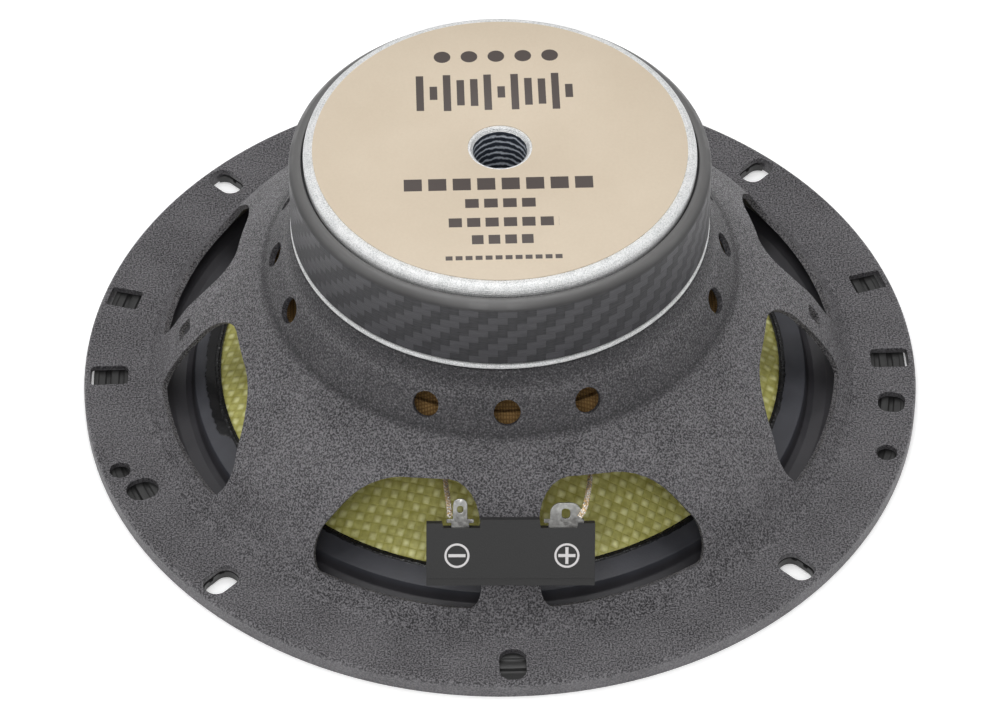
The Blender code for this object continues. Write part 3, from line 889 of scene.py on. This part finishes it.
roll_in, roll_out = 57.0 * mm, 65.0 * mm
step_r = 60.6 * mm
rubber_thick = 0.55 * mm
rear_face = rounded(scaled([
    (55.3, 5.35, 0), (56.6, 5.15, 0.5), (60.5, 4.4, 0.3), (61.2, 1.9, 0.6), (62.4, 1.35, 0.5),
    (64.8, 1.35, 0.8), (66.2, 2.0, 0.6), (69.4, 1.9, 0)]), closed=False)
surround = turned("rubber_surround", rear_face + [(r, z - rubber_thick) for r, z in reversed(rear_face)])


def bend_by_radius(piece, still, moving):
    """Ties a ring to the basket at one radius and to the cone at another."""
    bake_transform(piece, "frame", "moving_cone", start=(0, 0, -1.0), end=(0, 0, 1.0))
    weights = piece.data.attributes["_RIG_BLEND"].data
    for vertex, weight in zip(piece.data.vertices, weights):
        share = min(max((vertex.co.xy.length - still) / (moving - still), 0), 1)
        weight.value = share * share * (3 - 2 * share)


def rubber():
    """Dark grey rubber with adhesive smeared on it; the rim next to the cone is painted lighter as painted
    light, the roll darker as painted shade.
    """
    made, shader = material("grey_rubber", (0.045, 0.047, 0.055), 0.48)
    place, x, y, _ = place_on(made)
    radius = from_middle(x, y)
    bloom = stretch(grain(place, 5.0, 3.0), 0.25, 0.75)
    # Inside the step the rubber is painted lighter as painted light; outside it, in the roll, it is painted
    # darker as painted shade.
    painted_rim_light = stretch(radius, step_r / mm + 0.3, step_r / mm)
    smear = stretch(x, -53.0, -55.5)
    glue = stretch(radius + grain(place, 1.6, 3.0) * 1.3 - smear * 1.9, 57.2, 56.9)
    # The rim's colour is painted light and the roll's colour painted shade; bloom is the rubber's own patchy
    # tone.
    grey = blend_colours(bloom, (0.045, 0.046, 0.055), (0.062, 0.064, 0.076))
    roll_painted_shade = blend_colours(bloom, (0.034, 0.033, 0.038), (0.048, 0.046, 0.052))
    finish(shader, colour=blend_colours(glue, blend_colours(painted_rim_light, roll_painted_shade, grey), (0.013, 0.013, 0.014)),
           roughness=bloom * 0.12 + 0.42 - glue * 0.3, height=grain(place, 0.35) + glue * 3.0, depth=0.03)
    return made


surround.data.materials.append(rubber())
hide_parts("surround")
bend_by_radius(surround, still=roll_out, moving=roll_in)


# ---------------------------------------------------------------------------
# Spider
# Resin-dipped brown cloth pressed into waves. It centres the coil, and its rim
# is glued inside the basket's neck.

spider_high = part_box("spider")[1]
wave_in, wave_out = 17.0 * mm, 43.5 * mm
waves, wave_depth, wave_steps = 6, 0.85 * mm, 8
cloth_thick = 0.4 * mm
rim_z = spider_high[2] - 1.0 * mm
cloth_line = [(13.15 * mm, rim_z + cloth_thick), (15.0 * mm, rim_z + cloth_thick)]
for i in range(waves * wave_steps + 1):
    radius = wave_in + (wave_out - wave_in) * i / (waves * wave_steps)
    cloth_line.append((radius, rim_z - wave_depth * math.sin(2 * math.pi * i / wave_steps)))
cloth_line += [(44.6 * mm, rim_z - 0.05 * mm), (spider_high[0], rim_z - 0.05 * mm)]
spider = turned("cloth_spider", cloth_line + [(r, z - cloth_thick) for r, z in reversed(cloth_line)],
                segments=144)


def dipped_cloth():
    """Open brown cloth, stiff with resin."""
    made, shader = material("dipped_cloth", (0.16, 0.085, 0.025), 0.85)
    place, x, y, _ = place_on(made)
    pitch = 0.55
    bulge = hump(x / pitch) * hump(y / pitch)
    tint = grain(place, 3.0)
    finish(shader, colour=blend_colours(bulge * 0.7 + tint * 0.3, (0.2, 0.1, 0.03), (0.62, 0.38, 0.14)),
           height=bulge, depth=0.12)
    return made


spider.data.materials.append(dipped_cloth())
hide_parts("spider")
bend_by_radius(spider, still=wave_out, moving=wave_in)


# ---------------------------------------------------------------------------
# Terminal board
# Moulded black block clipped to the front spoke, with a peg in the spoke's
# square hole and a printed minus and plus beside the tabs.

board_turn = math.radians(-1.3)
board_place = slope_place() @ Matrix.Rotation(board_turn, 4, "Z")
board_half = 15.75
board_low, board_top = -5.3, 5.7
hump_top, block_top = 7.3, 6.6
board_back, board_face = 0.3 * mm, 2.7 * mm
board = prism("terminal_block", scaled([
    (-board_half, board_low), (board_half, board_low), (board_half, block_top), (12.6, block_top),
    (12.4, board_top), (5.6, board_top), (5.4, hump_top), (-5.6, hump_top), (-5.8, board_top),
    (-12.6, board_top), (-12.8, block_top), (-board_half, block_top)]), board_back, board_face)
negative_x, positive_x, tab_z = -9.45, 10.3, 1.55
hollows = [prism("pocket", oblong(width * mm, 8 * mm, 0.1 * mm), 0.9 * mm, 2.2 * mm,
                 Matrix.Translation((x * mm, board_top * mm, 0)))
           for x, width in ((negative_x, 4.1), (positive_x, 7.2))]
foot_step = scaled([(-17, -7), (17, -7), (17, -3.9), (-17, -3.9)])
hollows.append(prism("foot_step", foot_step, 2.55 * mm, 4 * mm))
cut(board, hollows)
peg = prism("board_peg", oblong(2.8 * mm, 3.3 * mm, 0.3 * mm), -1.7 * mm, 0.5 * mm,
            Matrix.Translation((0, peg_hole_y, 0)))
joiner = board.modifiers.new("peg", "BOOLEAN")
joiner.operation = "UNION"
joiner.object = peg
settle(board)
bpy.data.objects.remove(peg, do_unlink=True)
ease_edges(board, 0.18 * mm)
board.matrix_world = board_place


def printed_black():
    """Moulded black with a white circled minus on the left and plus on the right."""
    made = moulded_black("terminal_plastic", 0.022, 0.5)
    shader = made.node_tree.nodes["Principled BSDF"]
    _, x, y, z = place_on(made)
    ink = None
    for centre, upright in ((-10.05, False), (10.5, True)):
        across, up = abs(x - centre), abs(y - 0.45)
        mark = (abs(from_middle(across, up) - 2.14) < 0.2) | ((across < 1.6) * (up < 0.29))
        if upright:
            mark = mark | ((across < 0.29) * (up < 1.6))
        ink = mark if ink is None else ink | mark
    ink = ink * (z > board_face / mm - 0.1)
    plastic = Field(shader.inputs["Base Color"].links[0].from_socket)
    finish(shader, colour=blend_colours(ink, plastic, (0.7, 0.68, 0.68)))
    return made


dress(board, printed_black(), "frame", "terminal_board")


# ---------------------------------------------------------------------------
# Tabs
# Tin-plated brass blades pressed into the board, narrow for minus and wide for
# plus, so that a push-on plug fits only its own.

foot_depth, blade_half = 3.6, 0.35
shoulder_gap, shoulder_height = 0.8, 0.7


def bright_tin():
    """Smeared tin plate, brighter towards the blade's tip."""
    made, shader = material("bright_tin", (0.5, 0.5, 0.49), 0.3, 0.9)
    place, _, y, _ = place_on(made)
    smears = grain(place, 0.9, 3.0)
    towards_tip = stretch(y, 6.3, 9.5)
    shine = stretch(smears, 0.3, 0.7) * 0.5 + towards_tip * 0.5
    finish(shader, colour=blend_colours(shine, (0.16, 0.155, 0.15), (0.62, 0.62, 0.6)),
           roughness=smears * 0.2 + 0.24, height=smears, depth=0.06)
    return made


tin = bright_tin()


def tab(name, node, x, half, foot_half, reach, corner, hole_half, shoulders):
    """A blade with shoulders over its foot, a rounded tip and a hole."""
    foot = board_top - foot_depth
    shoulder = board_top + shoulder_gap
    top = shoulder + shoulder_height
    tip = shoulder + reach
    right, left = shoulders
    outline = rounded(scaled([
        (-foot_half, foot, 0), (foot_half, foot, 0), (foot_half, shoulder, 0), (right, shoulder, 0.15),
        (right, top, 0.15), (half, top, 0), (half, tip, corner), (-half, tip, corner),
        (-half, top, 0), (left, top, 0.15), (left, shoulder, 0.15), (-foot_half, shoulder, 0)]))
    blade = prism(name, outline, -blade_half * mm, blade_half * mm)
    hole = prism("hole", oblong(hole_half * 2 * mm, hole_half * 2.4 * mm, hole_half * 0.8 * mm), -mm, mm,
                 Matrix.Translation((0, (tip - 2.0) * mm, 0)))
    cut(blade, [hole])
    ease_edges(blade, 0.14 * mm)
    blade.matrix_world = board_place @ Matrix.Translation((x * mm, 0, tab_z * mm))
    dress(blade, tin, "frame", node)


tab("narrow_blade", "negative_tab", negative_x, 1.35, 1.7, 4.6, 1.25, 0.55, (2.55, -2.55))
tab("wide_blade", "positive_tab", positive_x, 2.95, 3.25, 3.8, 2.0, 0.8, (3.4, -4.1))


# ---------------------------------------------------------------------------
# Leads
# Flat-braided tinsel wire, soldered at the tabs' shoulders and cemented to the
# cone. It is loose enough to follow the cone without pulling.

lead_r, strand_r, strand_sides = 0.5 * mm, 0.14 * mm, 6
route_steps = 120
routes = {
    "negative": [(-11.2, -58.1, 23.9), (-11.3, -54.5, 22.4), (-11.5, -49.5, 20.4), (-11.7, -44.0, 18.9),
                 (-10.9, -37.0, 17.8), (-9.2, -29.5, 18.6)],
    "positive": [(13.0, -59.5, 24.1), (13.9, -58.4, 25.1), (14.5, -55.8, 24.7), (14.9, -52.3, 22.9),
                 (15.4, -48.0, 20.7), (15.7, -43.0, 19.0), (14.8, -36.0, 17.9), (11.8, -28.6, 18.6)],
}


def smooth_route(route, count):
    """Points along a smooth curve through the route's own points."""
    points = [Vector(point) * mm for point in route]
    points = [2 * points[0] - points[1]] + points + [2 * points[-1] - points[-2]]
    line = []
    for i in range(count):
        place = (len(route) - 1) * i / (count - 1)
        k = min(int(place), len(route) - 2)
        t = place - k
        a, b, c, d = points[k:k + 4]
        line.append(0.5 * (2 * b + (c - a) * t + (2 * a - 5 * b + 4 * c - d) * t * t
                           + (3 * b - a - 3 * c + d) * t ** 3))
    return line


def braid(name, line, strands=4, pitch=5.0 * mm):
    """Strands that wind both ways round a line, each over and under those it meets."""
    bm = bmesh.new()
    side = Vector((1, 0, 0))
    for way in (1, -1):
        for strand in range(strands):
            rings = []
            travelled = 0.0
            for i, point in enumerate(line):
                ahead = (line[min(i + 1, len(line) - 1)] - line[max(i - 1, 0)]).normalized()
                if i:
                    travelled += (point - line[i - 1]).length
                across = (side - ahead * side.dot(ahead)).normalized()
                turn = way * 2 * math.pi * travelled / pitch + 2 * math.pi * strand / strands
                out = across * math.cos(turn) + ahead.cross(across) * math.sin(turn)
                flat = ahead.cross(out)
                weave = math.cos(strands * turn * way) * way
                centre = point + out * (lead_r - strand_r + weave * strand_r * 0.35)
                rings.append([bm.verts.new(centre + (out * math.cos(a) + flat * math.sin(a) * 1.5) * strand_r)
                              for a in [2 * math.pi * k / strand_sides for k in range(strand_sides)]])
            for first, second in zip(rings, rings[1:]):
                for k in range(strand_sides):
                    bm.faces.new((first[k - 1], first[k], second[k], second[k - 1]))
            bm.faces.new(rings[0])
            bm.faces.new(rings[-1])
    return keep(name, bm)


def tinsel():
    """Silvery strands with gilt patches."""
    made, shader = material("tinsel_braid", (0.85, 0.76, 0.58), 0.34, 0.6)
    place = place_on(made)[0]
    gilt = stretch(grain(place, 0.5, 2.0), 0.4, 0.6)
    finish(shader, colour=blend_colours(gilt, (0.97, 0.95, 0.9), (0.7, 0.48, 0.22)),
           roughness=gilt * 0.15 + 0.22, height=grain(place, 0.12), depth=0.05)
    return made


tinsel_finish = tinsel()
cement = adhesive()
for side_name, route in routes.items():
    braided = braid(f"{side_name}_braid", smooth_route(route, route_steps))
    braided.data.materials.append(tinsel_finish)
    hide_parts(f"{side_name}_lead")
    start, end = (tuple(value * mm for value in route[i]) for i in (0, -1))
    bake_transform(braided, "frame", "moving_cone", start=start, end=end)

    low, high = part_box(f"{side_name}_lead_joint")
    centre = (Vector(low) + Vector(high)) / 2
    bm = bmesh.new()
    bmesh.ops.create_uvsphere(bm, u_segments=32, v_segments=20, radius=1.0)
    for vertex in bm.verts:
        lump = 1 + 0.12 * noise.noise(vertex.co * 2.0)
        vertex.co = Vector((vertex.co.x * 1.5, vertex.co.y * 1.5, vertex.co.z * 0.75)) * lump * mm + centre
    blob = keep(f"{side_name}_cement", bm)
    dress(blob, cement, "moving_cone", f"{side_name}_lead_joint")
